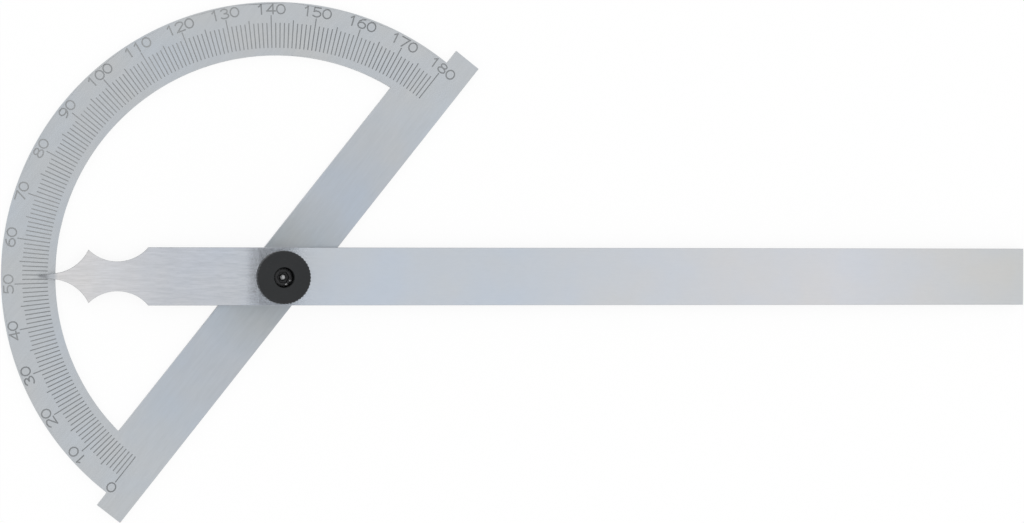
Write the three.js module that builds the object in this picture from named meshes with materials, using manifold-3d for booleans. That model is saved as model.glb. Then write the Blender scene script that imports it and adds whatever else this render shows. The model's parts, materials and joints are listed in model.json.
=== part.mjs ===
import * as THREE from 'three';
import { mergeVertices } from 'three/addons/utils/BufferGeometryUtils.js';
import Module from 'manifold-3d';

// Angle protractor, in millimetres and degrees. A half-round plate carries the scale, and a
// ruler arm with a pointer swings over it on a threaded bush and is held by a knob.
// The pivot axis is Z, the plate lies on z = 0, and X runs along the arm to its square end.

// Half-round plate
const plateThickness = 1.5;
const arcOuterRadius = 71;
const tabLength = 4;
const barWidth = 15;

// Scale on the arc, from its outer edge inwards
const numeralMargin = 0.65;
const numeralHeight = 2.4;
const numeralWidth = 2.2;
const numeralStroke = 0.34;
const numeralSpacing = 0.35;
const numeralGap = 0.4;
const longTick = 8.4;
const tickMargin = 1.95;
const tickWidth = 0.26;
const markDepth = 0.12;
const middleTickShare = 0.863;
const shortTickShare = 0.768;
const scaleDegrees = 180;
const numeralStep = 10;
const middleStep = 5;

// Ruler arm and its pointer, from the pointer's tip inwards
const armThickness = 1.5;
const armWidth = 15;
const armReach = 200;
const tipLap = 4.3;
const tipWidth = 0.16;
const needleLength = 4.6;
const needleWidth = 1.65;
const flankLength = 8.1;
const flankDepth = 1.25;
const barbWidth = 13.7;
const scallopLength = 15.3;
const scallopDepth = 3.35;

// Angle that the pointer shows
const setting = 51.7;

// Threaded bush, pressed in from under the plate
const bushDiameter = 6;
const bushFlangeDiameter = 9;
const bushFlangeThickness = 0.6;
const bushFloor = 0.4;
const clampGap = 0.2;

// Washer under the knob
const washerDiameter = 9;
const washerThickness = 0.8;

// Socket head screw
const screwDiameter = 3;
const screwLength = 12;
const screwHeadDiameter = 5;
const screwHeadHeight = 3;
const screwHeadChamfer = 0.3;
const socketWidth = 2.5;
const socketDepth = 1.5;

// Knurled knob round the screw
const knobHeight = 15;
const knobHeadDiameter = 13.7;
const knobHeadThickness = 5;
const knobCollarDiameter = 9;
const knobChamfer = 0.4;
const knurlDepth = 0.18;
const knurlCount = 48;

// Clearances: on the radius of a pressed seat, a turning fit, a thread and a screw hole
const seatClearance = 0.05;
const turningClearance = 0.05;
const threadClearance = 0.05;
const holeClearance = 0.1;
const threadEndGap = 0.1;

// How far a cutting shape runs past the face that it cuts
const overrun = 1;

// Steps of the round forms
const arcSteps = 120;
const scallopSteps = 20;
const roundSteps = 48;
const digitStepDegrees = 30;

// Places that follow from the sizes
const bandWidth = tickMargin + longTick + numeralGap + numeralHeight + numeralMargin;
const arcInnerRadius = arcOuterRadius - bandWidth;
const tickStart = arcInnerRadius + tickMargin;
const numeralBase = tickStart + longTick + numeralGap;
const armTop = plateThickness + armThickness;
const washerTop = armTop + washerThickness;
const knobTop = washerTop + knobHeight;
const screwSeat = bushFloor + threadEndGap + screwLength;

const wasm = await Module();
wasm.setup();

function polar(radius, degrees) {
  const turn = THREE.MathUtils.degToRad(degrees);
  return new THREE.Vector2(radius * Math.cos(turn), radius * Math.sin(turn));
}

// Points along a round arc about the pivot
function arcPoints(radius, fromDegrees, toDegrees, steps) {
  const points = [];
  for (let i = 0; i <= steps; i += 1) {
    points.push(polar(radius, THREE.MathUtils.lerp(fromDegrees, toDegrees, i / steps)));
  }
  return points;
}

// Even polygon about the pivot, from its radius at the corners
function polygon(radius, sides) {
  return arcPoints(radius, 0, 360, sides).slice(1);
}

function circlePoints(radius) {
  return polygon(radius, roundSteps);
}

// Points after start up to end, on the arc that leaves their straight line by depth on its right
function bowPoints(start, end, depth, steps) {
  const chord = end.clone().sub(start);
  const half = chord.length() / 2;
  const radius = (half * half + depth * depth) / (2 * depth);
  const along = chord.normalize();
  const right = new THREE.Vector2(along.y, -along.x);
  const middle = start.clone().add(end).multiplyScalar(0.5);
  const centre = middle.addScaledVector(right, depth - radius);
  const reach = Math.asin(half / radius);
  const points = [];
  for (let i = 1; i <= steps; i += 1) {
    const turn = THREE.MathUtils.lerp(-reach, reach, i / steps);
    const point = centre.clone().addScaledVector(along, radius * Math.sin(turn));
    points.push(point.addScaledVector(right, radius * Math.cos(turn)));
  }
  return points;
}

// Upright solid of an outline with holes
function prism(outline, holes, bottom, top) {
  const shape = new THREE.Shape(outline);
  shape.holes = holes.map((hole) => new THREE.Path(hole));
  const geometry = new THREE.ExtrudeGeometry(shape, { depth: top - bottom, bevelEnabled: false });
  return geometry.translate(0, 0, bottom);
}

// Solid turned about the pivot axis from a profile of radius and height
function turned(profile) {
  const points = profile.map(([radius, height]) => new THREE.Vector2(radius, height));
  return new THREE.LatheGeometry(points, roundSteps).rotateX(Math.PI / 2);
}

function toSolid(geometry) {
  const bare = geometry.clone();
  bare.deleteAttribute('normal');
  bare.deleteAttribute('uv');
  const merged = mergeVertices(bare);
  return new wasm.Manifold(new wasm.Mesh({
    numProp: 3,
    vertProperties: new Float32Array(merged.attributes.position.array),
    triVerts: new Uint32Array(merged.index.array),
  }));
}

function toGeometry(solid) {
  const mesh = solid.getMesh();
  const geometry = new THREE.BufferGeometry();
  geometry.setAttribute('position', new THREE.BufferAttribute(mesh.vertProperties, 3));
  geometry.setIndex(new THREE.BufferAttribute(mesh.triVerts, 1));
  return geometry;
}

// A geometry with others cut out of it
function cut(geometry, tools) {
  return toGeometry(toSolid(geometry).subtract(wasm.Manifold.union(tools.map(toSolid))));
}

// Part of an oval, as shares of a digit's width and height
function oval(centreX, centreY, radiusX, radiusY, fromDegrees, toDegrees) {
  const steps = Math.round(Math.abs(toDegrees - fromDegrees) / digitStepDegrees);
  const points = [];
  for (let i = 0; i <= steps; i += 1) {
    const unit = polar(1, THREE.MathUtils.lerp(fromDegrees, toDegrees, i / steps));
    points.push([centreX + radiusX * unit.x, centreY + radiusY * unit.y]);
  }
  return points;
}

function loop(centreX, centreY, radiusX, radiusY) {
  return oval(centreX, centreY, radiusX, radiusY, 0, 360).slice(1);
}

// Closed loops and open lines of each digit
const digitShares = [
  { loops: [loop(0.5, 0.5, 0.5, 0.5)], lines: [] },
  { loops: [], lines: [[[0.26, 0.8], [0.55, 1]], [[0.55, 1], [0.55, 0]]] },
  { loops: [], lines: [[...oval(0.5, 0.72, 0.46, 0.28, 160, -20), [0.04, 0]], [[0.04, 0], [0.98, 0]]] },
  { loops: [], lines: [oval(0.47, 0.76, 0.4, 0.24, 150, -90), oval(0.47, 0.26, 0.47, 0.26, 90, -150)] },
  { loops: [], lines: [[[0.74, 0], [0.74, 1]], [[0.74, 1], [0.02, 0.3]], [[0.02, 0.3], [1, 0.3]]] },
  {
    loops: [],
    lines: [[[0.88, 1], [0.16, 1]], [[0.16, 1], [0.12, 0.56]], oval(0.45, 0.32, 0.5, 0.32, 130, -140)],
  },
  { loops: [loop(0.5, 0.32, 0.46, 0.32)], lines: [oval(0.75, 0.38, 0.71, 0.62, 180, 90)] },
  { loops: [], lines: [[[0.02, 1], [0.98, 1]], [[0.98, 1], [0.36, 0]]] },
  { loops: [loop(0.5, 0.77, 0.38, 0.23), loop(0.5, 0.27, 0.47, 0.27)], lines: [] },
  { loops: [loop(0.5, 0.68, 0.46, 0.32)], lines: [oval(0.25, 0.62, 0.71, 0.62, 0, -90)] },
];

// Points of a line moved to its left by a distance, mitred at the corners
function besideLine(points, distance, closed) {
  const count = points.length;
  return points.map((point, i) => {
    const before = closed ? points[(i + count - 1) % count] : points[Math.max(i - 1, 0)];
    const after = closed ? points[(i + 1) % count] : points[Math.min(i + 1, count - 1)];
    const into = point.clone().sub(before).normalize();
    const out = after.clone().sub(point).normalize();
    const along = into.clone().add(out).normalize();
    const mitre = Math.max(along.dot(into), along.dot(out));
    const left = new THREE.Vector2(-along.y, along.x);
    return point.clone().addScaledVector(left, distance / mitre);
  });
}

// An open line made longer at both ends
function lengthened(points, distance) {
  const first = points[0].clone().sub(points[1]).setLength(distance).add(points[0]);
  const last = points.at(-1).clone().sub(points.at(-2)).setLength(distance).add(points.at(-1));
  return [first, ...points.slice(1, -1), last];
}

function markPrism(outline, holes) {
  return prism(outline, holes, plateThickness - markDepth, plateThickness + overrun);
}

// Cutting shapes of one digit, standing on its base line with the top along +Y
function digitTools(digit) {
  const half = numeralStroke / 2;
  const place = ([x, y]) => new THREE.Vector2((x - 0.5) * numeralWidth, numeralBase + y * numeralHeight);
  const loops = digitShares[digit].loops.map((shares) => {
    const points = shares.map(place);
    return markPrism(besideLine(points, -half, true), [besideLine(points, half, true)]);
  });
  const lines = digitShares[digit].lines.map((shares) => {
    const points = lengthened(shares.map(place), half);
    return markPrism([...besideLine(points, -half, false), ...besideLine(points, half, false).reverse()], []);
  });
  return [...loops, ...lines];
}

// Cutting shapes of the number at a scale mark, its digits side by side along the arc
function numberTools(value) {
  const pitch = THREE.MathUtils.radToDeg((numeralWidth + numeralSpacing) / numeralBase);
  const digits = [...String(value)];
  return digits.flatMap((digit, i) => {
    const turn = 90 - value - (i - (digits.length - 1) / 2) * pitch;
    return digitTools(Number(digit)).map((tool) => tool.rotateZ(THREE.MathUtils.degToRad(turn)));
  });
}

function tickLength(value) {
  if (value % numeralStep === 0) return longTick;
  if (value % middleStep === 0) return longTick * middleTickShare;
  return longTick * shortTickShare;
}

function tickTool(value) {
  const end = tickStart + tickLength(value);
  const corners = [[tickStart, -1], [end, -1], [end, 1], [tickStart, 1]];
  const outline = corners.map(([radius, side]) => new THREE.Vector2(radius, side * tickWidth / 2));
  return markPrism(outline, []).rotateZ(THREE.MathUtils.degToRad(scaleDegrees - value));
}

function scaleTools() {
  const tools = [];
  for (let value = 0; value <= scaleDegrees; value += 1) {
    tools.push(tickTool(value));
    if (value % numeralStep === 0) tools.push(...numberTools(value));
  }
  return tools;
}

// Half ring over a straight bar, whose outer half runs past the ring as two tabs
function plateOutline() {
  const halfBar = barWidth / 2;
  const tabEnd = arcOuterRadius + tabLength;
  return [
    new THREE.Vector2(-tabEnd, -halfBar),
    new THREE.Vector2(tabEnd, -halfBar),
    new THREE.Vector2(tabEnd, 0),
    ...arcPoints(arcOuterRadius, 0, 180, arcSteps),
    new THREE.Vector2(-tabEnd, 0),
  ];
}

function plateWindow() {
  const corner = THREE.MathUtils.radToDeg(Math.asin(barWidth / 2 / arcInnerRadius));
  return arcPoints(arcInnerRadius, corner, 180 - corner, arcSteps);
}

// Stepped hole that the bush is pressed into
function bushSeatTools() {
  const body = circlePoints(bushDiameter / 2 + seatClearance);
  const flange = circlePoints(bushFlangeDiameter / 2 + seatClearance);
  return [
    prism(body, [], -overrun, plateThickness + overrun),
    prism(flange, [], -overrun, bushFlangeThickness),
  ];
}

function degreePlate() {
  const blank = prism(plateOutline(), [plateWindow()], 0, plateThickness);
  return cut(blank, [...bushSeatTools(), ...scaleTools()]);
}

// Upper edge of the pointer, from the arm's shoulder to its tip
function pointerEdge() {
  const tip = arcInnerRadius + tipLap;
  const root = tip - needleLength;
  const barb = root - flankLength;
  const shoulder = barb - scallopLength;
  const start = new THREE.Vector2(-shoulder, armWidth / 2);
  const barbPoint = new THREE.Vector2(-barb, barbWidth / 2);
  const rootPoint = new THREE.Vector2(-root, needleWidth / 2);
  return [
    start,
    ...bowPoints(start, barbPoint, -scallopDepth, scallopSteps),
    ...bowPoints(barbPoint, rootPoint, -flankDepth, scallopSteps),
    new THREE.Vector2(-tip, tipWidth / 2),
  ];
}

function rulerArm() {
  const upper = [new THREE.Vector2(armReach, armWidth / 2), ...pointerEdge()];
  const lower = upper.map((point) => new THREE.Vector2(point.x, -point.y)).reverse();
  const hole = circlePoints(bushDiameter / 2 + turningClearance);
  return prism([...upper, ...lower], [hole], plateThickness, armTop);
}

function pivotBush() {
  const bore = screwDiameter / 2 + threadClearance;
  const top = armTop - clampGap;
  return turned([
    [0, 0],
    [bushFlangeDiameter / 2, 0],
    [bushFlangeDiameter / 2, bushFlangeThickness],
    [bushDiameter / 2, bushFlangeThickness],
    [bushDiameter / 2, top],
    [bore, top],
    [bore, bushFloor],
    [0, bushFloor],
  ]);
}

function pressureWasher() {
  const hole = screwDiameter / 2 + holeClearance;
  return turned([
    [hole, armTop],
    [washerDiameter / 2, armTop],
    [washerDiameter / 2, washerTop],
    [hole, washerTop],
    [hole, armTop],
  ]);
}

function clampScrew() {
  const headRadius = screwHeadDiameter / 2;
  const top = screwSeat + screwHeadHeight;
  const blank = turned([
    [0, screwSeat - screwLength],
    [screwDiameter / 2, screwSeat - screwLength],
    [screwDiameter / 2, screwSeat],
    [headRadius, screwSeat],
    [headRadius, top - screwHeadChamfer],
    [headRadius - screwHeadChamfer, top],
    [0, top],
  ]);
  const hexagon = polygon(socketWidth / Math.sqrt(3), 6);
  return cut(blank, [prism(hexagon, [], top - socketDepth, top + overrun)]);
}

// Square rods round the rim, one edge inwards, that leave the knurl's ridges
function knurlTools(rim) {
  const tools = [];
  for (let i = 0; i < knurlCount; i += 1) {
    const rod = polygon(knurlDepth, 4).map((point) => point.add(new THREE.Vector2(rim, 0)));
    const tool = prism(rod, [], knobTop - knobHeadThickness - overrun, knobTop + overrun);
    tools.push(tool.rotateZ(THREE.MathUtils.degToRad(i * 360 / knurlCount)));
  }
  return tools;
}

function clampKnob() {
  const bore = screwDiameter / 2 + holeClearance;
  const recess = screwHeadDiameter / 2 + holeClearance;
  const rim = knobHeadDiameter / 2;
  const headBottom = knobTop - knobHeadThickness;
  const blank = turned([
    [bore, washerTop],
    [knobCollarDiameter / 2, washerTop],
    [knobCollarDiameter / 2, headBottom],
    [rim - knobChamfer, headBottom],
    [rim, headBottom + knobChamfer],
    [rim, knobTop - knobChamfer],
    [rim - knobChamfer, knobTop],
    [recess, knobTop],
    [recess, screwSeat],
    [bore, screwSeat],
    [bore, washerTop],
  ]);
  return cut(blank, knurlTools(rim));
}

const satinSteel = { color: 0xb7bbbe, roughness: 0.42, metalness: 0.9 };
const brushedSteel = { color: 0xc4c6c8, roughness: 0.36, metalness: 0.9 };
const zincSteel = { color: 0xa9acae, roughness: 0.35, metalness: 0.9 };
const blackSteel = { color: 0x2a2b2d, roughness: 0.4, metalness: 0.6 };
const blackPlastic = { color: 0x35363a, roughness: 0.6, metalness: 0 };

function part(name, geometry, finish) {
  const mesh = new THREE.Mesh(geometry, new THREE.MeshStandardMaterial(finish));
  mesh.name = name;
  return mesh;
}

const plateGroup = new THREE.Group();
plateGroup.rotation.z = THREE.MathUtils.degToRad(setting);
plateGroup.add(
  part('degree_plate', degreePlate(), satinSteel),
  part('pivot_bush', pivotBush(), zincSteel),
);

const clampGroup = new THREE.Group();
clampGroup.add(
  part('pressure_washer', pressureWasher(), zincSteel),
  part('clamp_screw', clampScrew(), blackSteel),
  part('clamp_knob', clampKnob(), blackPlastic),
);

const protractor = new THREE.Group();
protractor.add(plateGroup, part('ruler_arm', rulerArm(), brushedSteel), clampGroup);

export default protractor;
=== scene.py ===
import json
import math

import bmesh
import bpy
import numpy as np
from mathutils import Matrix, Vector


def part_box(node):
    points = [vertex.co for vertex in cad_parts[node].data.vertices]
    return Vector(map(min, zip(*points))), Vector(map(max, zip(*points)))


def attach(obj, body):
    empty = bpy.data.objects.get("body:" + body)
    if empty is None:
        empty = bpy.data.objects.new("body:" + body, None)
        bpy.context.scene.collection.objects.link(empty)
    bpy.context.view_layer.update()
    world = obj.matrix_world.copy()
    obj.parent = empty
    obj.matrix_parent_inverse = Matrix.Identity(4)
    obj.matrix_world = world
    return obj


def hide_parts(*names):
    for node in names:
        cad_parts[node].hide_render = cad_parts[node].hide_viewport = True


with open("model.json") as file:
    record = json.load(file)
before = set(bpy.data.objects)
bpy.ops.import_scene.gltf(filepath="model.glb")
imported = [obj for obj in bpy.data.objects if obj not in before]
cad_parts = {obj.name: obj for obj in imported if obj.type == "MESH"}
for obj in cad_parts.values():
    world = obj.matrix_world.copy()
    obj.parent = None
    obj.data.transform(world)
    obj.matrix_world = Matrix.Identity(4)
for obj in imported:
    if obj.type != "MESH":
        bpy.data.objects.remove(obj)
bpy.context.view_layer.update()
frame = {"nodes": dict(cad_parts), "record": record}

# Angle protractor. The pivot axis is Z, the plate lies on z = 0 and the arm runs along X.
# Sizes in the dictionaries are in millimetres, but the camera's place and the lamps are in metres.
mm = 0.001
weldGrain = 1e-6  # corners of a CAD node closer than this, in metres, are one point
poleGrain = 1e-7  # and so are points of a turned mesh closer than this
flatSharp = 34  # degrees between two flat faces from which their edge is shaded sharp

mountAxes = {mount["name"]: mount["axis"] for mount in frame["record"]["mounts"]}
barOutward = mountAxes["base_edge"]
setting = math.atan2(barOutward[0], -barOutward[1])  # angle of the base bar from the arm


# Mesh helpers

def gridFaces(rows, columns, closeRows=False):
    # face (i, j) = points (i, j), (i, j + 1), (i + 1, j + 1), (i + 1, j); the columns always close
    i, j = np.meshgrid(np.arange(rows if closeRows else rows - 1), np.arange(columns), indexing="ij")
    below, right = (i + 1) % rows, (j + 1) % columns
    corners = [i * columns + j, i * columns + right, below * columns + right, below * columns + j]
    return np.stack([corner.ravel() for corner in corners], axis=1)


def makeMesh(name, points, faces, sharpDegrees):
    mesh = bpy.data.meshes.new(name)
    mesh.from_pydata(points.tolist(), [], faces)
    mesh.shade_smooth()
    mesh.set_sharp_from_angle(angle=math.radians(sharpDegrees))
    return mesh


def markPoints(mesh, name, values):
    attribute = mesh.attributes.new(name, "FLOAT", "POINT")
    attribute.data.foreach_set("value", np.asarray(values, dtype=np.float32))


def meshPoints(mesh):
    points = np.empty(len(mesh.vertices) * 3)
    mesh.vertices.foreach_get("co", points)
    return points.reshape(-1, 3)


def placePiece(name, mesh, body, material, nodes=()):
    piece = bpy.data.objects.new(name, mesh)
    bpy.context.scene.collection.objects.link(piece)
    mesh.materials.append(material)
    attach(piece, body)
    if nodes:
        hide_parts(*nodes)
    return piece


def roundedProfile(corners, radii, steps, hold):
    # Each corner of a closed outline gives way to an arc that touches both sides, and to one more point
    # on each side, hold away from the arc, that keeps the side flat: steps + 3 points for each corner.
    # touching point = corner + side radius / tan(half angle), centre = corner + bisector radius / sin(half)
    corners, radii = np.array(corners, float), np.array(radii, float)[:, None]
    back = np.roll(corners, 1, axis=0) - corners
    ahead = np.roll(corners, -1, axis=0) - corners
    back /= np.linalg.norm(back, axis=1, keepdims=True)
    ahead /= np.linalg.norm(ahead, axis=1, keepdims=True)
    half = np.arccos(np.clip((back * ahead).sum(axis=1, keepdims=True), -1, 1)) / 2
    bisector = back + ahead
    bisector /= np.linalg.norm(bisector, axis=1, keepdims=True)
    reach = radii / np.tan(half)
    centre = corners + bisector * radii / np.sin(half)
    first, last = corners + back * reach - centre, corners + ahead * reach - centre
    turn = np.arctan2(last[:, 1], last[:, 0]) - np.arctan2(first[:, 1], first[:, 0])
    turn = (turn + np.pi) % (2 * np.pi) - np.pi
    share = np.linspace(0, 1, steps + 1)
    angle = np.arctan2(first[:, 1], first[:, 0])[:, None] + turn[:, None] * share
    arcs = centre[:, None, :] + radii[:, None] * np.stack([np.cos(angle), np.sin(angle)], axis=2)
    before = (corners + back * (reach + hold))[:, None, :]
    after = (corners + ahead * (reach + hold))[:, None, :]
    return np.concatenate([before, arcs, after], axis=1).reshape(-1, 2)


def turnedMesh(name, radius, height, closeRows, sharpDegrees=30):
    # point (i, j) = (radius_ij cos(angle_j), radius_ij sin(angle_j), height_i), angle_j even round Z
    rows, columns = radius.shape
    angle = np.arange(columns) * 2 * np.pi / columns
    x, y = radius * np.cos(angle), radius * np.sin(angle)
    z = np.broadcast_to(height[:, None], radius.shape)
    points = np.stack([x, y, z], axis=2).reshape(-1, 3) * mm
    mesh = makeMesh(name, points, gridFaces(rows, columns, closeRows).tolist(), sharpDegrees)
    welded = bmesh.new()
    welded.from_mesh(mesh)
    bmesh.ops.remove_doubles(welded, verts=welded.verts, dist=poleGrain)
    welded.to_mesh(mesh)
    welded.free()
    return mesh


# Shader helpers

def addNode(tree, kind, **settings):
    node = tree.nodes.new(kind)
    for key, value in settings.items():
        setattr(node, key, value)
    return node


def feed(tree, socket, value):
    if isinstance(value, bpy.types.NodeSocket):
        tree.links.new(value, socket)
    else:
        socket.default_value = value


def maths(tree, operation, first, second=0.0, clamp=False):
    node = addNode(tree, "ShaderNodeMath", operation=operation, use_clamp=clamp)
    feed(tree, node.inputs[0], first)
    feed(tree, node.inputs[1], second)
    return node.outputs[0]


def vectorMaths(tree, operation, first, second=None, result="Vector"):
    node = addNode(tree, "ShaderNodeVectorMath", operation=operation)
    feed(tree, node.inputs[0], first)
    if second is not None:
        feed(tree, node.inputs["Scale" if operation == "SCALE" else 1], second)
    return node.outputs[result]


def mixColors(tree, factor, first, second, blend="MIX"):
    node = addNode(tree, "ShaderNodeMix", data_type="RGBA", blend_type=blend)
    for name, value in (("Factor_Float", factor), ("A_Color", first), ("B_Color", second)):
        feed(tree, next(s for s in node.inputs if s.identifier == name), value)
    return next(s for s in node.outputs if s.identifier == "Result_Color")


def spread(tree, value, low, high, newLow=0.0, newHigh=1.0):
    # low to high becomes newLow to newHigh, and what lies outside takes the nearer end
    node = addNode(tree, "ShaderNodeMapRange")
    for socket, number in zip(node.inputs, (value, low, high, newLow, newHigh)):
        feed(tree, socket, number)
    return node.outputs[0]


def noise(tree, vector, scale, detail=2.0, roughness=0.5):
    node = addNode(tree, "ShaderNodeTexNoise", normalize=True)
    feed(tree, node.inputs["Vector"], vector)
    feed(tree, node.inputs["Scale"], scale)
    feed(tree, node.inputs["Detail"], detail)
    feed(tree, node.inputs["Roughness"], roughness)
    return node.outputs["Fac"]


def stretched(tree, vector, along, across):
    # coordinates times (along, across, across), so that a noise draws out into lines along X
    factors = addNode(tree, "ShaderNodeCombineXYZ")
    for socket, value in zip(factors.inputs, (along, across, across)):
        feed(tree, socket, value)
    return vectorMaths(tree, "MULTIPLY", vector, factors.outputs[0])


def axisDistance(tree, vector):
    # distance from the Z axis = length of (x, y, 0)
    flat = vectorMaths(tree, "MULTIPLY", vector, (1.0, 1.0, 0.0))
    return vectorMaths(tree, "LENGTH", flat, result="Value")


def startGroup(name, inputs, outputs):
    group = bpy.data.node_groups.new(name, "ShaderNodeTree")
    kinds = dict.fromkeys(["Vector", "Normal", "Across"], "NodeSocketVector")
    for label, value in inputs.items():
        kind = kinds.get(label, "NodeSocketFloat")
        socket = group.interface.new_socket(label, in_out="INPUT", socket_type=kind)
        if value is not None:
            socket.default_value = value
    for label in outputs:
        kind = kinds.get(label, "NodeSocketFloat")
        group.interface.new_socket(label, in_out="OUTPUT", socket_type=kind)
    ends = group.nodes.new("NodeGroupInput"), group.nodes.new("NodeGroupOutput")
    return group, ends[0].outputs, ends[1].inputs


def brushedGrainGroup():
    # three noises drawn out along X, from 0 to 1: lines, streaks 2.5 times as large, hairs a fifth of them
    group, given, result = startGroup(
        "brushed_grain", {"Vector": None, "Lines per Metre": 4000.0, "Stretch": 60.0},
        ["Lines", "Streaks", "Hairs"])
    along = maths(group, "DIVIDE", given["Lines per Metre"], given["Stretch"])
    vector = stretched(group, given["Vector"], along, given["Lines per Metre"])
    feed(group, result["Lines"], noise(group, vector, scale=1.0, detail=3.0, roughness=0.6))
    feed(group, result["Streaks"], noise(group, vector, scale=0.4, detail=2.0, roughness=0.6))
    feed(group, result["Hairs"], noise(group, vector, scale=5.0, detail=1.0, roughness=0.5))
    return group


def leantNormalGroup():
    # normal + (hairs - middle) lean across the hairs, turned from the object to the world, so that the
    # hairs draw a reflection out across themselves and leave it sharp along them
    group, given, result = startGroup(
        "leant_normal", {"Normal": None, "Across": (0.0, 1.0, 0.0), "Hairs": 0.5, "Lean": 1.0}, ["Normal"])
    middle = 0.5
    lean = maths(group, "MULTIPLY", maths(group, "SUBTRACT", given["Hairs"], middle), given["Lean"])
    leant = vectorMaths(group, "ADD", given["Normal"], vectorMaths(group, "SCALE", given["Across"], lean))
    turned = addNode(group, "ShaderNodeVectorTransform", vector_type="NORMAL",
                     convert_from="OBJECT", convert_to="WORLD")
    feed(group, turned.inputs["Vector"], leant)
    feed(group, result["Normal"], turned.outputs["Vector"])
    return group


def turnedRingsGroup():
    # fine rings about the Z axis, from 0 to 1: a noise that reads only the distance to the axis
    group, given, result = startGroup(
        "turned_rings", {"Vector": None, "Rings per Metre": 6000.0}, ["Rings"])
    rings = addNode(group, "ShaderNodeTexNoise", noise_dimensions="1D", normalize=True)
    feed(group, rings.inputs["W"], axisDistance(group, given["Vector"]))
    feed(group, rings.inputs["Scale"], given["Rings per Metre"])
    feed(group, rings.inputs["Detail"], 2.0)
    feed(group, result["Rings"], rings.outputs["Fac"])
    return group


def cloudsGroup():
    # slow, uneven change of tone over the surface, and small specks, both from 0 to 1
    group, given, result = startGroup(
        "clouds", {"Vector": None, "Clouds per Metre": 30.0, "Specks per Metre": 2500.0},
        ["Clouds", "Specks"])
    soft = noise(group, given["Vector"], given["Clouds per Metre"], detail=3.0, roughness=0.5)
    feed(group, result["Clouds"], spread(group, soft, low=0.3, high=0.7))
    fine = noise(group, given["Vector"], given["Specks per Metre"], detail=1.0, roughness=0.4)
    feed(group, result["Specks"], spread(group, fine, low=0.66, high=0.78))
    return group


def edgeWearAndGlintGroup():
    # where the edge value is high, broken up by a noise: mask = clamp(edge (noise + lift) - cut)
    # on the screw the same mask also lays the painted glints and the painted highlight in the socket
    lift, cut = 0.6, 0.35
    group, given, result = startGroup(
        "edge_wear_and_glint", {"Vector": None, "Edge": 0.0, "Breaks per Metre": 900.0}, ["Mask"])
    rough = noise(group, given["Vector"], given["Breaks per Metre"], detail=3.0, roughness=0.65)
    raised = maths(group, "MULTIPLY", given["Edge"], maths(group, "ADD", rough, lift))
    feed(group, result["Mask"], maths(group, "SUBTRACT", raised, cut, clamp=True))
    return group


effects = {
    "grain": brushedGrainGroup(),
    "lean": leantNormalGroup(),
    "rings": turnedRingsGroup(),
    "clouds": cloudsGroup(),
    "wear": edgeWearAndGlintGroup(),
}


def startMaterial(name, settings):
    material = bpy.data.materials.new(name)
    material.use_nodes = True
    tree = material.node_tree
    shader = tree.nodes["Principled BSDF"]
    for key, value in settings.items():
        shader.inputs[key].default_value = value
    return material, tree, shader


def objectVector(tree, turn=0.0):
    place = addNode(tree, "ShaderNodeTexCoord")
    mapping = addNode(tree, "ShaderNodeMapping")
    feed(tree, mapping.inputs["Vector"], place.outputs["Object"])
    feed(tree, mapping.inputs["Rotation"], (0.0, 0.0, turn))
    return mapping.outputs["Vector"]


def placesOn(tree, vector):
    # the two coordinates in the sheet's face, and the distance from the pivot
    split = addNode(tree, "ShaderNodeSeparateXYZ")
    feed(tree, split.inputs[0], vector)
    return {"X": split.outputs["X"], "Y": split.outputs["Y"], "radius": axisDistance(tree, vector)}


def effect(tree, name, **values):
    # one of the shared groups, with its inputs given by name, an underscore for each space
    node = addNode(tree, "ShaderNodeGroup", node_tree=effects[name])
    for label, value in values.items():
        feed(tree, node.inputs[label.replace("_", " ")], value)
    return node.outputs


def cloudsOf(tree, vector, look):
    return effect(tree, "clouds", Vector=vector, Clouds_per_Metre=look["cloudsPerMetre"],
                  Specks_per_Metre=look["specksPerMetre"])


def wearAndGlintMask(tree, vector, look):
    edge = addNode(tree, "ShaderNodeAttribute", attribute_name="edge").outputs["Fac"]
    return effect(tree, "wear", Vector=vector, Edge=edge, Breaks_per_Metre=look["breaksPerMetre"])["Mask"]


def bump(tree, height, distance, strength=1.0):
    node = addNode(tree, "ShaderNodeBump")
    feed(tree, node.inputs["Height"], height)
    feed(tree, node.inputs["Distance"], distance * mm)
    feed(tree, node.inputs["Strength"], strength)
    return node.outputs["Normal"]


print("helpers ready")

# Satin steel sheets: plate and arm

# What both sheets share
satinLook = {
    "cloudsPerMetre": 55.0,
    "breaksPerMetre": 700.0,
    "streakRange": (0.32, 0.68),  # part of the streaks' noise that goes from no streak to a full one
    "lineRange": (0.3, 0.7),  # part of the lines' noise over which they change the roughness
    "lineRoughness": (-0.05, 0.06),
    "wornPolish": 0.08,  # roughness that a worn rim loses
}

# A pair of numbers holds left and right of the two calm places along the sheet's own X, and changes
# evenly between them: roughness, share of streaks, and how far the finest hairs lean the surface over.
# Each entry of paintedLightAndShade is painted light or shade: a factor on the colour that grows to its
# full value from one place to the next, along X or by the distance from the pivot.
plateLook = {
    "edgeRadius": 0.12,
    "edgeSteps": 3,
    "runningGap": 0.0,
    "tone": (0.500, 0.512, 0.518, 1.0),
    "cloudTone": (0.470, 0.510, 0.555, 1.0),
    "streakTone": (0.415, 0.438, 0.456, 1.0),
    "wornTone": (0.62, 0.64, 0.66, 1.0),
    "linesPerMetre": 4200.0,
    "lineStretch": 11.0,
    "calmPlaces": (-75.0, 75.0),
    "roughness": (0.42, 0.42),
    "streakShare": (0.28, 0.28),
    "lean": (0.2, 0.2),
    "paintedLightAndShade": [
        # painted shade: from 62 mm in, the plate darkens towards the pivot, and more from 24 mm in, where
        # the knob and arm shade it
        ("radius", 62.0, 30.0, (0.905, 0.930, 0.975, 1.0)),
        ("radius", 24.0, 12.0, (0.885, 0.885, 0.860, 1.0)),
    ],
}

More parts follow.
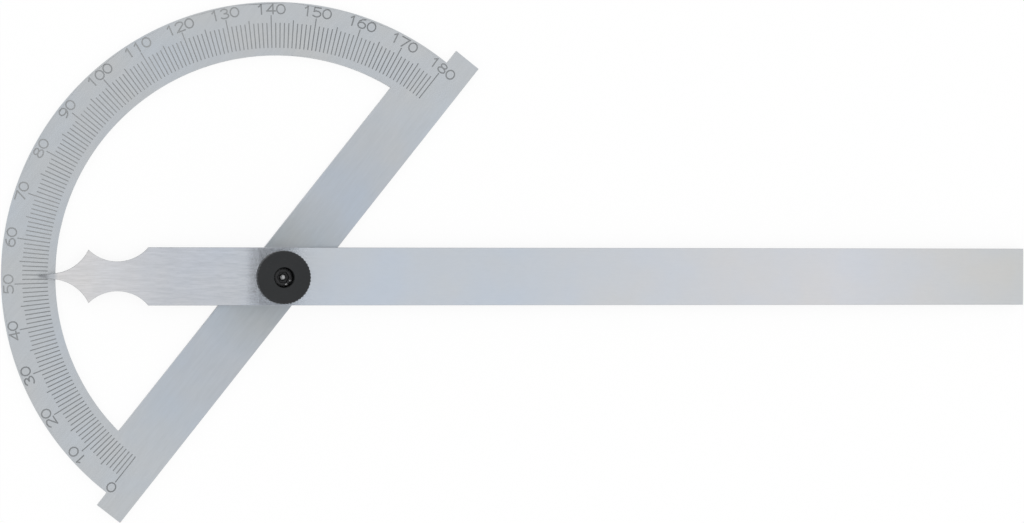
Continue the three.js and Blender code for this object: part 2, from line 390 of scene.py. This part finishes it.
armLook = {
    "edgeRadius": 0.12,
    "edgeSteps": 3,
    "runningGap": 0.02,  # the underside lies this far over the plate
    "tone": (0.499, 0.527, 0.560, 1.0),
    "cloudTone": (0.475, 0.525, 0.595, 1.0),
    "streakTone": (0.360, 0.394, 0.433, 1.0),
    "wornTone": (0.42, 0.43, 0.45, 1.0),
    "linesPerMetre": 5400.0,
    "lineStretch": 9.0,
    "calmPlaces": (0.0, 12.0),
    "roughness": (0.15, 0.38),
    "streakShare": (0.44, 0.05),
    "lean": (4.0, 0.2),
    "paintedLightAndShade": [
        # painted light: the arm lightens from the knob out towards the pointer
        ("X", 10.0, -20.0, (1.11, 1.075, 1.065, 1.0)),
        ("X", -28.0, -48.0, (1.24, 1.17, 1.08, 1.0)),
        # painted shade: the needle darkens where it reaches over the plate, most at its tip
        ("X", -56.6, -57.6, (0.70, 0.74, 0.78, 1.0)),
        ("X", -58.6, -59.8, (0.62, 0.62, 0.62, 1.0)),
        # painted highlight: lighter and warmer over the right part of the arm, and darker again towards its
        # end
        ("X", 60.0, 150.0, (1.18, 1.12, 1.075, 1.0)),
        ("X", 150.0, 196.0, (0.91, 0.92, 0.90, 1.0)),
    ],
}


def nodeTriangles(name):
    # the node's loose triangles with equal corners made one point
    mesh = frame["nodes"][name].data
    points = meshPoints(mesh)
    mesh.calc_loop_triangles()
    corners = np.empty(len(mesh.loop_triangles) * 3, dtype=np.int32)
    mesh.loop_triangles.foreach_get("vertices", corners)
    keys = np.round(points / weldGrain).astype(np.int64)
    first, place = np.unique(keys, axis=0, return_index=True, return_inverse=True)[1:]
    return points[first], place.ravel()[corners].reshape(-1, 3)


def directedEdges(triangles):
    # every triangle three times: edge from, edge to, third corner
    return np.concatenate([triangles, triangles[:, [1, 2, 0]], triangles[:, [2, 0, 1]]])


def softenRim(points, triangles, level, side, thickness, look):
    # The edge between a sheet's face and its walls becomes a quarter round of k steps:
    # point = corner + inward radius (1 - sin t) - side radius (1 - cos t) along Z, t from 0 to 90 degrees.
    # Only walls that reach over most of the thickness count, not those of the engraving.
    tallShare, shortShare = 0.8, 0.4  # of the thickness, and of the shorter edge at a corner
    count = len(points)
    isCap = (np.abs(points[:, 2] - level) < weldGrain)[triangles].all(axis=1)
    capEdges, wallEdges = directedEdges(triangles[isCap]), directedEdges(triangles[~isCap])
    isTall = np.abs(points[wallEdges[:, 2], 2] - level) > tallShare * thickness
    wallKeys = wallEdges[isTall, 1] * count + wallEdges[isTall, 0]
    isRim = np.isin(capEdges[:, 0] * count + capEdges[:, 1], wallKeys)
    start, end = capEdges[isRim, 0], capEdges[isRim, 1]
    slot = np.zeros(count, dtype=np.int64)
    slot[start] = np.arange(len(start))
    following = slot[end]
    before = np.zeros(len(start), dtype=np.int64)
    before[following] = np.arange(len(start))
    along = points[end, :2] - points[start, :2]
    length = np.linalg.norm(along, axis=1, keepdims=True)
    inward = side * np.stack([-along[:, 1], along[:, 0]], axis=1) / length
    mitre = inward + inward[before]
    mitre /= (mitre * inward).sum(axis=1, keepdims=True)
    radius = np.minimum(look["edgeRadius"] * mm, shortShare * np.minimum(length, length[before]))
    t = np.linspace(0, np.pi / 2, look["edgeSteps"] + 1)[:, None, None]
    flat = points[start, :2] + mitre * radius * (1 - np.sin(t))
    height = points[start, 2:] - side * radius * (1 - np.cos(t))
    rows = np.concatenate([flat, height], axis=2)
    index = np.concatenate([start[None], count + np.arange(rows[1:, :, 0].size).reshape(-1, len(start))])
    moved = points.copy()
    moved[start] = rows[0]
    lowered = np.arange(count)
    lowered[start] = index[-1]
    triangles = np.concatenate([triangles[isCap], lowered[triangles[~isCap]]])
    nextIndex = index[:, following]
    quads = np.stack([nextIndex[:-1], index[:-1], index[1:], nextIndex[1:]], axis=2).reshape(-1, 4)
    return np.concatenate([moved, rows[1:].reshape(-1, 3)]), triangles, quads


def sheetMesh(name, node, look):
    # the node's own triangles with both rims rounded, and the underside raised to its running gap:
    # height = the larger of the corner's height and lowest height + gap
    low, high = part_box(node)
    thickness = high.z - low.z
    points, triangles = nodeTriangles(node)
    count = len(points)
    points, triangles, topQuads = softenRim(points, triangles, high.z, 1, thickness, look)
    points, triangles, lowQuads = softenRim(points, triangles, low.z, -1, thickness, look)
    points[:, 2] = np.maximum(points[:, 2], low.z + look["runningGap"] * mm)
    mesh = makeMesh(name, points, triangles.tolist() + topQuads.tolist() + lowQuads.tolist(), flatSharp)
    ends = np.empty(len(mesh.edges) * 2, dtype=np.int32)
    mesh.edges.foreach_get("vertices", ends)
    isSharp = np.zeros(len(mesh.edges), dtype=bool)
    mesh.attributes["sharp_edge"].data.foreach_get("value", isSharp)
    isSharp |= (ends < count).reshape(-1, 2).all(axis=1)  # the faces stay flat up to their rounded rims
    mesh.attributes["sharp_edge"].data.foreach_set("value", isSharp)
    markPoints(mesh, "edge", np.arange(len(points)) >= count)
    return mesh


def satinSteel(name, look, turn):
    material, tree, shader = startMaterial(name, {"Metallic": 1.0})
    vector = objectVector(tree, turn)
    grain = effect(
        tree, "grain", Vector=vector, Lines_per_Metre=look["linesPerMetre"], Stretch=look["lineStretch"])
    clouds = effect(tree, "clouds", Vector=vector, Clouds_per_Metre=satinLook["cloudsPerMetre"])
    worn = wearAndGlintMask(tree, vector, satinLook)
    places = placesOn(tree, vector)
    calm = [place * mm for place in look["calmPlaces"]]
    rough, share, lean = [
        spread(tree, places["X"], *calm, *look[key]) for key in ("roughness", "streakShare", "lean")]
    streaks = maths(tree, "MULTIPLY", spread(tree, grain["Streaks"], *satinLook["streakRange"]), share)
    color = mixColors(tree, clouds["Clouds"], look["tone"], look["cloudTone"])
    color = mixColors(tree, streaks, color, look["streakTone"])
    # painted light and shade, laid on the colour as factors
    for measure, start, full, tint in look["paintedLightAndShade"]:
        reached = spread(tree, places[measure], start * mm, full * mm)
        color = mixColors(tree, reached, color, tint, "MULTIPLY")
    color = mixColors(tree, worn, color, look["wornTone"])
    feed(tree, shader.inputs["Base Color"], color)
    change = spread(tree, grain["Lines"], *satinLook["lineRange"], *satinLook["lineRoughness"])
    polish = maths(tree, "MULTIPLY", worn, satinLook["wornPolish"])
    rough = maths(tree, "SUBTRACT", maths(tree, "ADD", rough, change), polish)
    feed(tree, shader.inputs["Roughness"], rough)
    upright = addNode(tree, "ShaderNodeTexCoord").outputs["Normal"]
    across = (math.sin(turn), math.cos(turn), 0.0)  # the direction that the turn brings onto Y
    leant = effect(tree, "lean", Normal=upright, Across=across, Hairs=grain["Hairs"], Lean=lean)
    feed(tree, shader.inputs["Normal"], leant["Normal"])
    return material


plateSteel = satinSteel("plate_steel", plateLook, -setting)
armSteel = satinSteel("arm_steel", armLook, 0.0)
placePiece("plate_sheet", sheetMesh("plate_sheet", "degree_plate", plateLook), "plate", plateSteel,
           ["degree_plate"])
placePiece("arm_blade", sheetMesh("arm_blade", "ruler_arm", armLook), "arm", armSteel,
           ["ruler_arm"])
print("sheets ready")

# Grey filling in the engraved lines and numbers

fillingLook = {
    "thickness": 0.05,
    "numberRadius": 67.7,  # lines end inside this distance from the pivot, and numbers begin outside it
    "tone": (0.200, 0.212, 0.224, 1.0),
    "wornTone": (0.345, 0.358, 0.366, 1.0),
    "wornFrom": 34.0,  # heights over the base bar between which the filling is worn more and more
    "wornTo": 58.0,
    "wornByHeight": 0.55,
    "wornByClouds": 0.45,
    "cloudsPerMetre": 120.0,
    "specksPerMetre": 5000.0,
    "roughness": (0.6, 0.75),  # outside the specks, and in them
}


def fillingMeshes(look):
    # The engraving's floor is the highest level of upward triangles under the plate's face. Its copy,
    # raised by the filling's thickness, is closed by a wall on each edge that only one triangle has.
    points, triangles = nodeTriangles("degree_plate")
    corners = points[triangles]
    normal = np.cross(corners[:, 1] - corners[:, 0], corners[:, 2] - corners[:, 0])
    upShare = 0.9  # of the normal's length
    isUp = normal[:, 2] > upShare * np.linalg.norm(normal, axis=1)
    height = corners[:, :, 2].max(axis=1)
    isUp &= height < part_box("degree_plate")[1].z - weldGrain
    floor = triangles[isUp & (height > height[isUp].max() - weldGrain)]
    distance = np.linalg.norm(points[floor].mean(axis=1)[:, :2], axis=1)
    isNumber = distance > look["numberRadius"] * mm
    return [solidFrom(name, points, floor[chosen], look["thickness"] * mm)
            for name, chosen in (("scale_lines", ~isNumber), ("scale_numbers", isNumber))]


def solidFrom(name, points, triangles, thickness):
    # bottom = the triangles turned over, top = the triangles raised by the thickness, and a wall on
    # each edge (a, b) for which there is no edge (b, a)
    used, renumbered = np.unique(triangles, return_inverse=True)
    triangles = renumbered.reshape(-1, 3)
    low, count = points[used], len(used)
    high = low + (0, 0, thickness)
    edges = directedEdges(triangles)[:, :2]
    isOpen = ~np.isin(edges[:, 0] * count + edges[:, 1], edges[:, 1] * count + edges[:, 0])
    start, end = edges[isOpen].T
    walls = np.stack([start, end, end + count, start + count], axis=1)
    faces = triangles[:, ::-1].tolist() + (triangles + count).tolist() + walls.tolist()
    return makeMesh(name, np.concatenate([low, high]), faces, flatSharp)


def fillingPaint(look):
    material, tree, shader = startMaterial("scale_filling", {"Metallic": 0.0, "IOR": 1.45})
    vector = objectVector(tree, -setting)
    clouds = cloudsOf(tree, vector, look)
    overBar = placesOn(tree, vector)["Y"]
    height = spread(tree, overBar, look["wornFrom"] * mm, look["wornTo"] * mm, 0.0, look["wornByHeight"])
    worn = maths(tree, "ADD", height, maths(tree, "MULTIPLY", clouds["Clouds"], look["wornByClouds"]))
    feed(tree, shader.inputs["Base Color"], mixColors(tree, worn, look["tone"], look["wornTone"]))
    feed(tree, shader.inputs["Roughness"], spread(tree, clouds["Specks"], 0.0, 1.0, *look["roughness"]))
    return material


scaleFilling = fillingPaint(fillingLook)
for fillingMesh in fillingMeshes(fillingLook):
    placePiece(fillingMesh.name, fillingMesh, "plate", scaleFilling)
print("scale ready")

# Turned steel: bush and washer

bushLook = {
    "flangeDiameter": 9.0,
    "flangeThickness": 0.6,
    "bodyDiameter": 6.0,
    "boreDiameter": 3.1,
    "floor": 0.4,
    "edgeRadius": 0.08,
    "edgeSteps": 3,
    "edgeHold": 0.02,
    "tone": (0.36, 0.37, 0.38, 1.0),
    "ringTone": (0.46, 0.47, 0.48, 1.0),
    "cloudsPerMetre": 220.0,
    "roughness": (0.3, 0.42),  # from the clouds' lowest value to their highest
    "ringsPerMetre": 7000.0,
    "ringRange": (0.3, 0.7),  # part of the rings' noise that goes from no ring to a full one
    "ringDepth": 0.004,
}

washerLook = {
    "diameter": 9.0,
    "hole": 3.2,
    "edgeRadius": 0.14,
    "edgeSteps": 4,
    "edgeHold": 0.02,
}

turnedSteps = 96  # points round each turned part


def turnedSteel(name, look):
    material, tree, shader = startMaterial(name, {"Metallic": 1.0})
    vector = objectVector(tree)
    rings = effect(tree, "rings", Vector=vector, Rings_per_Metre=look["ringsPerMetre"])["Rings"]
    clouds = effect(tree, "clouds", Vector=vector, Clouds_per_Metre=look["cloudsPerMetre"])
    shade = maths(tree, "MULTIPLY", spread(tree, rings, *look["ringRange"]), clouds["Clouds"])
    feed(tree, shader.inputs["Base Color"], mixColors(tree, shade, look["tone"], look["ringTone"]))
    feed(tree, shader.inputs["Roughness"], spread(tree, clouds["Clouds"], 0.0, 1.0, *look["roughness"]))
    feed(tree, shader.inputs["Normal"], bump(tree, rings, look["ringDepth"]))
    return material


def evenRadius(profile, columns):
    # radius (i, j) = the profile's radius i, the same all round
    return np.repeat(profile[:, :1], columns, axis=1)


def bushMesh(look):
    # profile = the axis at the bottom, flange, shoulder, body, rim, bore, and the axis at the floor
    low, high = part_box("pivot_bush")
    bottom, top = low.z / mm, high.z / mm
    flange, body, bore = (look[key] / 2 for key in ("flangeDiameter", "bodyDiameter", "boreDiameter"))
    step, floor = bottom + look["flangeThickness"], bottom + look["floor"]
    corners = [(flange, bottom), (flange, step), (body, step), (body, top), (bore, top), (bore, floor)]
    radii = [look["edgeRadius"]] * len(corners)
    guides = [(bore / 2, floor), (bore / 2, bottom)]  # they only give the ends of the wall their directions
    steps, hold = look["edgeSteps"], look["edgeHold"]
    wall = roundedProfile(corners + guides, radii + [hold / 2] * len(guides), steps, hold)
    wall = wall[:-len(guides) * (steps + 3)]
    profile = np.concatenate([[(0, bottom)], wall, [(0, floor)]])
    return turnedMesh("bush_turned", evenRadius(profile, turnedSteps), profile[:, 1], False)


def washerMesh(look):
    # profile = a rectangle from the hole to the rim, rounded at its four corners
    low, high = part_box("pressure_washer")
    outer, inner = look["diameter"] / 2, look["hole"] / 2
    bottom, top = low.z / mm, high.z / mm
    corners = [(inner, bottom), (outer, bottom), (outer, top), (inner, top)]
    radii = [look["edgeRadius"]] * len(corners)
    profile = roundedProfile(corners, radii, look["edgeSteps"], look["edgeHold"])
    return turnedMesh("washer_turned", evenRadius(profile, turnedSteps), profile[:, 1], True)


turnedZinc = turnedSteel("turned_steel", bushLook)
placePiece("bush_turned", bushMesh(bushLook), "plate", turnedZinc, ["pivot_bush"])
placePiece("washer_turned", washerMesh(washerLook), "washer", turnedZinc, ["pressure_washer"])
print("turned parts ready")

# Clamp screw: black, with a hexagon socket and a rolled thread

screwLook = {
    "shankDiameter": 3.0,
    "headHeight": 3.0,
    "headRound": 0.5,
    "roundRows": 7,
    "tipChamfer": 0.35,
    "pitch": 0.5,
    "threadDepth": 0.26,
    "threadRows": 160,
    "cornerGap": 0.1,  # from a corner of the shank or head to the next row
    "socketWidth": 2.5,
    "socketDepth": 1.5,
    "socketChamfer": 0.14,
    "socketGap": 0.05,  # from a corner of the socket to the next row
    "mouthRows": [(0.2, 0.4), (0.02, 0.9)],  # distance from the socket's mouth, share of hexagon there
    "ledge": 0.03,  # flat rim of the socket's floor
    "drillShare": 0.8,  # radius of the drilled hollow in the floor, of half the socket's width
    "spot": 0.62,  # radius of the bare middle of the hollow, a painted highlight in the socket's floor
    "spotRim": 0.06,
    "spotRimDepth": 0.2,
    "spotDepth": 0.22,
    "coneTip": 0.1,
    "coneDepth": 0.4,
    "paintedFloorGlint": 1.0,
    "roundBareness": 0.45,
    "roundShare": 0.75,  # part of the head's rounding that is rubbed bare
    "paintedGlintLevel": 0.8,
    "paintedGlintPlaces": [(-67.0, 2.02, 0.30), (-25.0, 2.05, 0.26)],  # painted glints: bare patches where the lamp glints on the head's edge; degrees, radius and size
    "tone": (0.018, 0.019, 0.021, 1.0),
    "bareAndGlintTone": (0.62, 0.63, 0.64, 1.0),
    "blackMetallic": 0.5,
    "cloudsPerMetre": 600.0,
    "specksPerMetre": 7000.0,
    "breaksPerMetre": 1500.0,
    "roughness": (0.2, 0.32),  # from the clouds' lowest value to their highest
    "speckDepth": 0.01,
}


def screwMesh(look):
    # radius = profile radius, less the thread's wave of (height / pitch - turn), and drawn to a hexagon
    # of half width w, radius = w / cos(angle from the nearest flat's middle), in the socket
    low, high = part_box("clamp_screw")
    bottom, top, head = low.z / mm, high.z / mm, (high.x - low.x) / 2 / mm
    shank, half = look["shankDiameter"] / 2, look["socketWidth"] / 2
    seat, floor, tip = top - look["headHeight"], top - look["socketDepth"], look["tipChamfer"]
    corner, rim, spot = look["headRound"], look["socketChamfer"], look["spot"]
    mouth = half + rim
    gap, close = look["cornerGap"], look["socketGap"]
    shankRows = np.linspace(bottom + tip, seat - look["pitch"], look["threadRows"])
    bend = np.linspace(0, np.pi / 2, look["roundRows"])
    # columns of the table: radius, height, share of thread, share of hexagon
    parts = [
        [(0, bottom, 0, 0), (shank - tip, bottom, 0, 0)],
        [(shank, height, 1, 0) for height in shankRows],
        [(shank, seat - gap, 0, 0), (shank, seat, 0, 0)],
        [(head - gap, seat, 0, 0), (head, seat + gap, 0, 0)],
        [(head - corner * (1 - math.cos(a)), top - corner * (1 - math.sin(a)), 0, 0) for a in bend],
        [(head - corner - gap, top, 0, 0), (head - corner - 2 * gap, top, 0, 0)],
        [(mouth + away, top, 0, hexagonShare) for away, hexagonShare in look["mouthRows"]],
        [(mouth, top, 0, 1), (half, top - rim, 0, 1), (half, top - rim - close, 0, 1)],
        [(half, floor + close, 0, 1), (half, floor, 0, 1), (half - look["ledge"], floor, 0, 1)],
        [(half * look["drillShare"], floor - close, 0, 0)],
        [(spot + look["spotRim"], floor - look["spotRimDepth"], 0, 0)],
        [(spot, floor - look["spotDepth"], 0, 0)],
        [(look["coneTip"], floor - look["coneDepth"], 0, 0), (0, floor - look["coneDepth"], 0, 0)],
    ]
    table = np.array([row for rows in parts for row in rows], float)
    angle = np.arange(turnedSteps) * 2 * np.pi / turnedSteps
    hexagon = 1 / np.cos(angle % (np.pi / 3) - np.pi / 6)
    wave = table[:, 1:2] / look["pitch"] - angle / (2 * np.pi)
    groove = np.abs(2 * (wave % 1) - 1)
    radius = table[:, :1] * (1 + table[:, 3:4] * (hexagon - 1))
    radius = radius - table[:, 2:3] * look["threadDepth"] * groove
    mesh = turnedMesh("screw_body", radius, table[:, 1], False)
    x, y, heights = meshPoints(mesh).T / mm
    distance = np.hypot(x, y)
    # painted highlight: the middle of the socket's hollow is made bare steel so that it shines
    isFloor = (distance < spot + look["spotRim"] / 2) & (heights < floor) & (heights > seat)
    isHigh = heights > top - corner * look["roundShare"]
    isRound = isHigh & (distance > head - corner * look["roundShare"])
    edge = np.where(isFloor, look["paintedFloorGlint"], np.where(isRound, look["roundBareness"], 0.0))
    # painted glints: two bare patches on the head's edge
    for degrees, away, size in look["paintedGlintPlaces"]:
        angle = math.radians(degrees)
        fromMiddle = np.hypot(x - away * math.cos(angle), y - away * math.sin(angle))
        edge = np.where(isHigh & (fromMiddle < size), look["paintedGlintLevel"], edge)
    markPoints(mesh, "edge", edge)
    return mesh


def blackSteel(look):
    material, tree, shader = startMaterial("screw_steel", {"IOR": 1.5})
    vector = objectVector(tree)
    clouds = cloudsOf(tree, vector, look)
    # bare steel where the head is rubbed, together with the painted glints and the painted highlight in the
    # socket
    bareAndGlint = wearAndGlintMask(tree, vector, look)
    feed(tree, shader.inputs["Base Color"], mixColors(tree, bareAndGlint, look["tone"], look["bareAndGlintTone"]))
    feed(tree, shader.inputs["Metallic"], spread(tree, bareAndGlint, 0.0, 1.0, look["blackMetallic"], 1.0))
    feed(tree, shader.inputs["Roughness"], spread(tree, clouds["Clouds"], 0.0, 1.0, *look["roughness"]))
    feed(tree, shader.inputs["Normal"], bump(tree, clouds["Specks"], look["speckDepth"]))
    return material


screwSteel = blackSteel(screwLook)
placePiece("screw_body", screwMesh(screwLook), "knob", screwSteel, ["clamp_screw"])
print("screw ready")

# Clamp knob: moulded black plastic with a knurled rim

knobLook = {
    "boreDiameter": 3.2,
    "collarDiameter": 9.0,
    "headThickness": 5.0,
    "chamfer": 0.4,
    "headGap": 0.1,
    "edgeRadius": 0.12,
    "edgeSteps": 4,
    "edgeHold": 0.03,
    "collarRadius": 0.24,
    "neckRadius": 0.6,
    "recessRadius": 0.18,
    "knurlCount": 48,
    "knurlDepth": 0.16,
    "knurlPower": 1.4,  # above 1 the ridges are wider than the grooves
    "stepsPerKnurl": 8,
    "sharpDegrees": 40,
    "tone": (0.0120, 0.0136, 0.0152, 1.0),
    "dustTone": (0.040, 0.042, 0.045, 1.0),
    "dustShare": 0.5,
    "wornTone": (0.030, 0.032, 0.034, 1.0),
    "cloudsPerMetre": 140.0,
    "specksPerMetre": 3800.0,
    "breaksPerMetre": 1200.0,
    "grainPerMetre": 9000.0,
    "grainDepth": 0.01,
    "grainStrength": 0.6,
    "roughness": (0.55, 0.64),  # from the clouds' lowest value to their highest
}


def knobMesh(look):
    # radius = the smaller of the turned profile's and the knurled rim's,
    # rim - depth ((1 - cos(count angle)) / 2)^power
    low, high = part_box("clamp_knob")
    bottom, top, rim = low.z / mm, high.z / mm, (high.x - low.x) / 2 / mm
    bore, collar = look["boreDiameter"] / 2, look["collarDiameter"] / 2
    under, chamfer = top - look["headThickness"], look["chamfer"]
    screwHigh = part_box("clamp_screw")[1]
    recess, seat = screwHigh.x / mm + look["headGap"], screwHigh.z / mm - screwLook["headHeight"]
    edge, depth = look["edgeRadius"], look["knurlDepth"]
    # columns of the outline: radius, height, radius of the rounding
    outline = np.array([
        (bore, bottom, edge), (collar, bottom, look["collarRadius"]), (collar, under, look["neckRadius"]),
        (rim - chamfer, under, edge), (rim, under + chamfer, edge), (rim, top - chamfer, edge),
        (rim - chamfer, top, edge), (recess, top, look["recessRadius"]), (recess, seat, edge),
        (bore, seat, edge),
    ])
    profile = roundedProfile(outline[:, :2], outline[:, 2], look["edgeSteps"], look["edgeHold"])
    columns = look["knurlCount"] * look["stepsPerKnurl"]
    angle = np.arange(columns) * 2 * np.pi / columns
    wave = ((1 - np.cos(look["knurlCount"] * angle)) / 2) ** look["knurlPower"]
    radius = np.minimum(profile[:, :1], rim - depth * wave)
    mesh = turnedMesh("knob_body", radius, profile[:, 1], True, look["sharpDegrees"])
    distance = np.linalg.norm(meshPoints(mesh)[:, :2], axis=1) / mm
    markPoints(mesh, "edge", np.clip((distance - rim + depth) / depth, 0, 1))
    return mesh


def blackPlastic(look):
    material, tree, shader = startMaterial("knob_plastic", {"IOR": 1.45, "Specular IOR Level": 0.4})
    vector = objectVector(tree)
    clouds = cloudsOf(tree, vector, look)
    grain = noise(tree, vector, look["grainPerMetre"], detail=2.0, roughness=0.6)
    dust = maths(tree, "MULTIPLY", clouds["Specks"], look["dustShare"])
    color = mixColors(tree, dust, look["tone"], look["dustTone"])
    color = mixColors(tree, wearAndGlintMask(tree, vector, look), color, look["wornTone"])
    feed(tree, shader.inputs["Base Color"], color)
    feed(tree, shader.inputs["Roughness"], spread(tree, clouds["Clouds"], 0.0, 1.0, *look["roughness"]))
    feed(tree, shader.inputs["Normal"], bump(tree, grain, look["grainDepth"], look["grainStrength"]))
    return material


knobPlastic = blackPlastic(knobLook)
placePiece("knob_body", knobMesh(knobLook), "knob", knobPlastic, ["clamp_knob"])
print("knob ready")

# Camera, in the place from which the scale, the arm and the knob look as they do in the photograph

cameraLook = {
    "place": (-0.07948, 0.01590, 0.86707),
    "turnDegrees": (-0.8142, -9.2381, 0.1918),
    "lens": 117.72,
    "sensor": 36.0,
    "clip": (0.05, 20.0),
}


def placeCamera(look):
    data = bpy.data.cameras.new("camera")
    data.lens, data.sensor_width = look["lens"], look["sensor"]
    data.clip_start, data.clip_end = look["clip"]
    camera = bpy.data.objects.new("camera", data)
    camera.location = look["place"]
    camera.rotation_euler = [math.radians(turn) for turn in look["turnDegrees"]]
    bpy.context.scene.collection.objects.link(camera)
    bpy.context.scene.camera = camera


placeCamera(cameraLook)

# Pale floor, white surroundings and soft lamps

studioLook = {
    "floorRadius": 2500.0,
    "floorRings": 13,
    "floorSpokes": 48,
    "floorGap": 0.02,
    "floorTone": (0.97, 0.97, 0.97, 1.0),
    "floorRoughness": 0.9,
    "floorWhiteShare": 0.88,  # share of plain white that the camera sees; the rest takes light and shadow
    "surroundings": 1.0,
    "lamps": {
        "key": {"place": (0.21, -0.18, 1.12), "size": 0.08, "power": 0.07, "tone": (1.0, 1.0, 1.0)},
        "side": {"place": (0.40, -0.02, 1.00), "size": 0.60, "power": 0.16, "tone": (1.0, 0.88, 0.78)},
    },
}


def placeFloor(look):
    # a flat disc from the rim in: radius_i = floor radius (1 - i / last i)^2
    share = np.linspace(1, 0, look["floorRings"])[:, None] ** 2
    radius = np.repeat(share * look["floorRadius"], look["floorSpokes"], axis=1)
    mesh = turnedMesh("floor", radius, np.full(len(radius), -look["floorGap"]), False)
    floor = bpy.data.objects.new("floor", mesh)
    bpy.context.scene.collection.objects.link(floor)
    material, tree, shader = startMaterial("floor_white", {
        "Base Color": look["floorTone"], "Roughness": look["floorRoughness"], "Specular IOR Level": 0.0})
    white = addNode(tree, "ShaderNodeEmission")
    mix = addNode(tree, "ShaderNodeMixShader")
    seen = addNode(tree, "ShaderNodeLightPath").outputs["Is Camera Ray"]
    feed(tree, mix.inputs[0], maths(tree, "MULTIPLY", seen, look["floorWhiteShare"]))
    feed(tree, mix.inputs[1], shader.outputs[0])
    feed(tree, mix.inputs[2], white.outputs[0])
    feed(tree, tree.nodes["Material Output"].inputs["Surface"], mix.outputs[0])
    mesh.materials.append(material)


def lightWorld(look):
    world = bpy.data.worlds.new("surroundings")
    world.use_nodes = True
    bpy.context.scene.world = world
    background = world.node_tree.nodes["Background"]
    background.inputs["Color"].default_value = (1.0, 1.0, 1.0, 1.0)
    background.inputs["Strength"].default_value = look["surroundings"]


def placeLamp(name, look):
    data = bpy.data.lights.new(name, "AREA")
    data.shape, data.size, data.energy, data.color = "DISK", look["size"], look["power"], look["tone"]
    lamp = bpy.data.objects.new(name, data)
    lamp.location = look["place"]
    lamp.rotation_euler = (-lamp.location).to_track_quat("-Z", "Y").to_euler()  # it looks at the origin
    lamp.visible_camera = False
    bpy.context.scene.collection.objects.link(lamp)


placeFloor(studioLook)
lightWorld(studioLook)
for lampName, lampLook in studioLook["lamps"].items():
    placeLamp(lampName, lampLook)
bpy.context.scene.view_settings.view_transform = "Standard"
print("studio ready")
